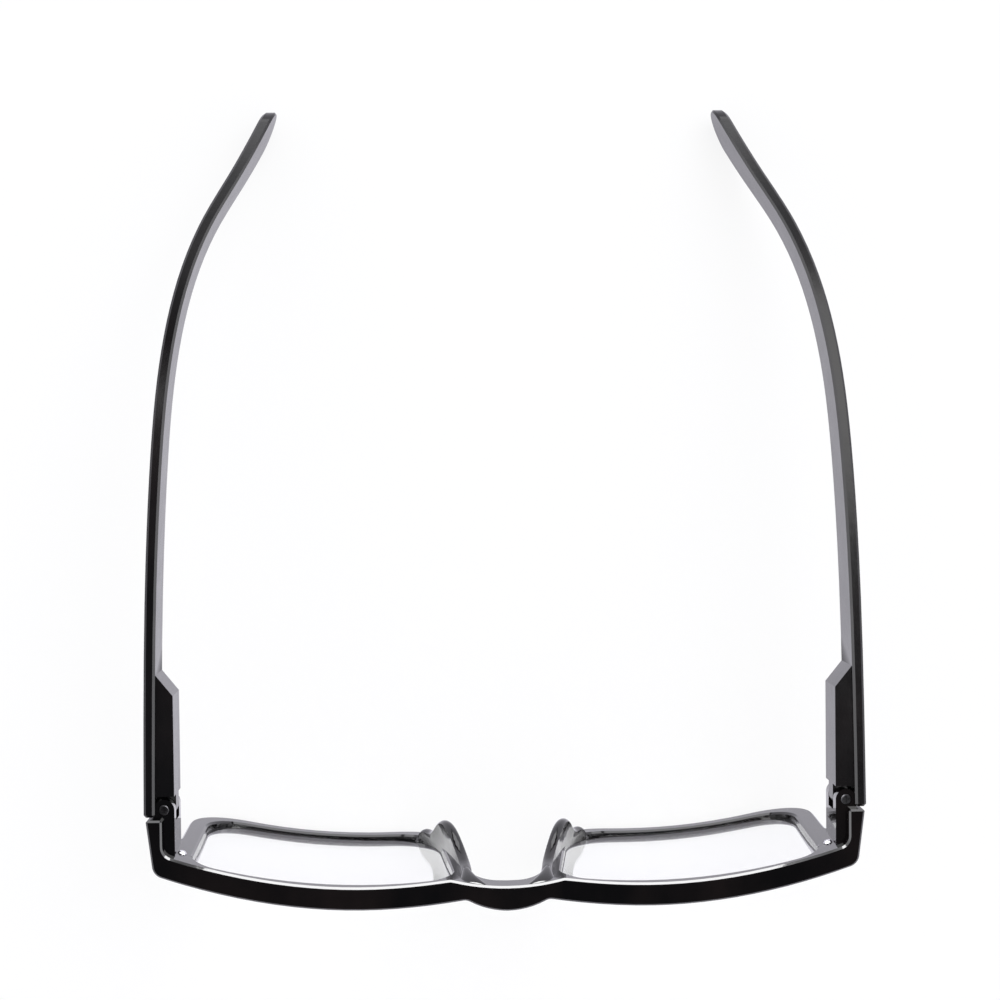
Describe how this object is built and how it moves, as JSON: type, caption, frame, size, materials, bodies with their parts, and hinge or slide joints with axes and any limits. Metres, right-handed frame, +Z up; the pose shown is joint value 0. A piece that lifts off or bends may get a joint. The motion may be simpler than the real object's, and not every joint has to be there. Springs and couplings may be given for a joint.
{
  "type": "rectangular eyeglasses",
  "caption": "Rectangular full-rim eyeglasses with moulded saddle nose pads, clear lenses and folding temples on screwed knuckle hinges.",
  "frame": {"origin": "on the surface that the open eyeglasses stand on, under the middle of their length and width", "axes": "+X to the wearer's left, +Y from the front towards the temple tips, +Z up"},
  "size_m": [0.134, 0.1518, 0.0373],
  "materials": {
    "frame": "gloss black all over",
    "lens": "clear, polished",
    "screw": "machined",
    "insert": "machined",
    "washer": "natural nylon",
    "pin": "polished dome"
  },
  "bodies": {
    "front": {"front_frame": "frame", "lens_left": "lens", "hinge_screw_left": "screw", "threaded_insert_left": "insert", "upper_washer_left": "washer", "lower_washer_left": "washer", "corner_pin_left": "pin", "lens_right": "lens", "hinge_screw_right": "screw", "threaded_insert_right": "insert", "upper_washer_right": "washer", "lower_washer_right": "washer", "corner_pin_right": "pin"},
    "left_arm": {"temple_left": "frame"},
    "right_arm": {"temple_right": "frame"}
  },
  "joints": [
    {"name": "left_fold", "type": "hinge", "parent": "front", "child": "left_arm", "pos_m": [0.0633, -0.0565, 0.02927], "axis": [0, 0, 1], "range_deg": [0, 85]},
    {"name": "right_fold", "type": "hinge", "parent": "front", "child": "right_arm", "pos_m": [-0.0633, -0.0565, 0.02927], "axis": [0, 0, -1], "range_deg": [0, 75]}
  ]
}
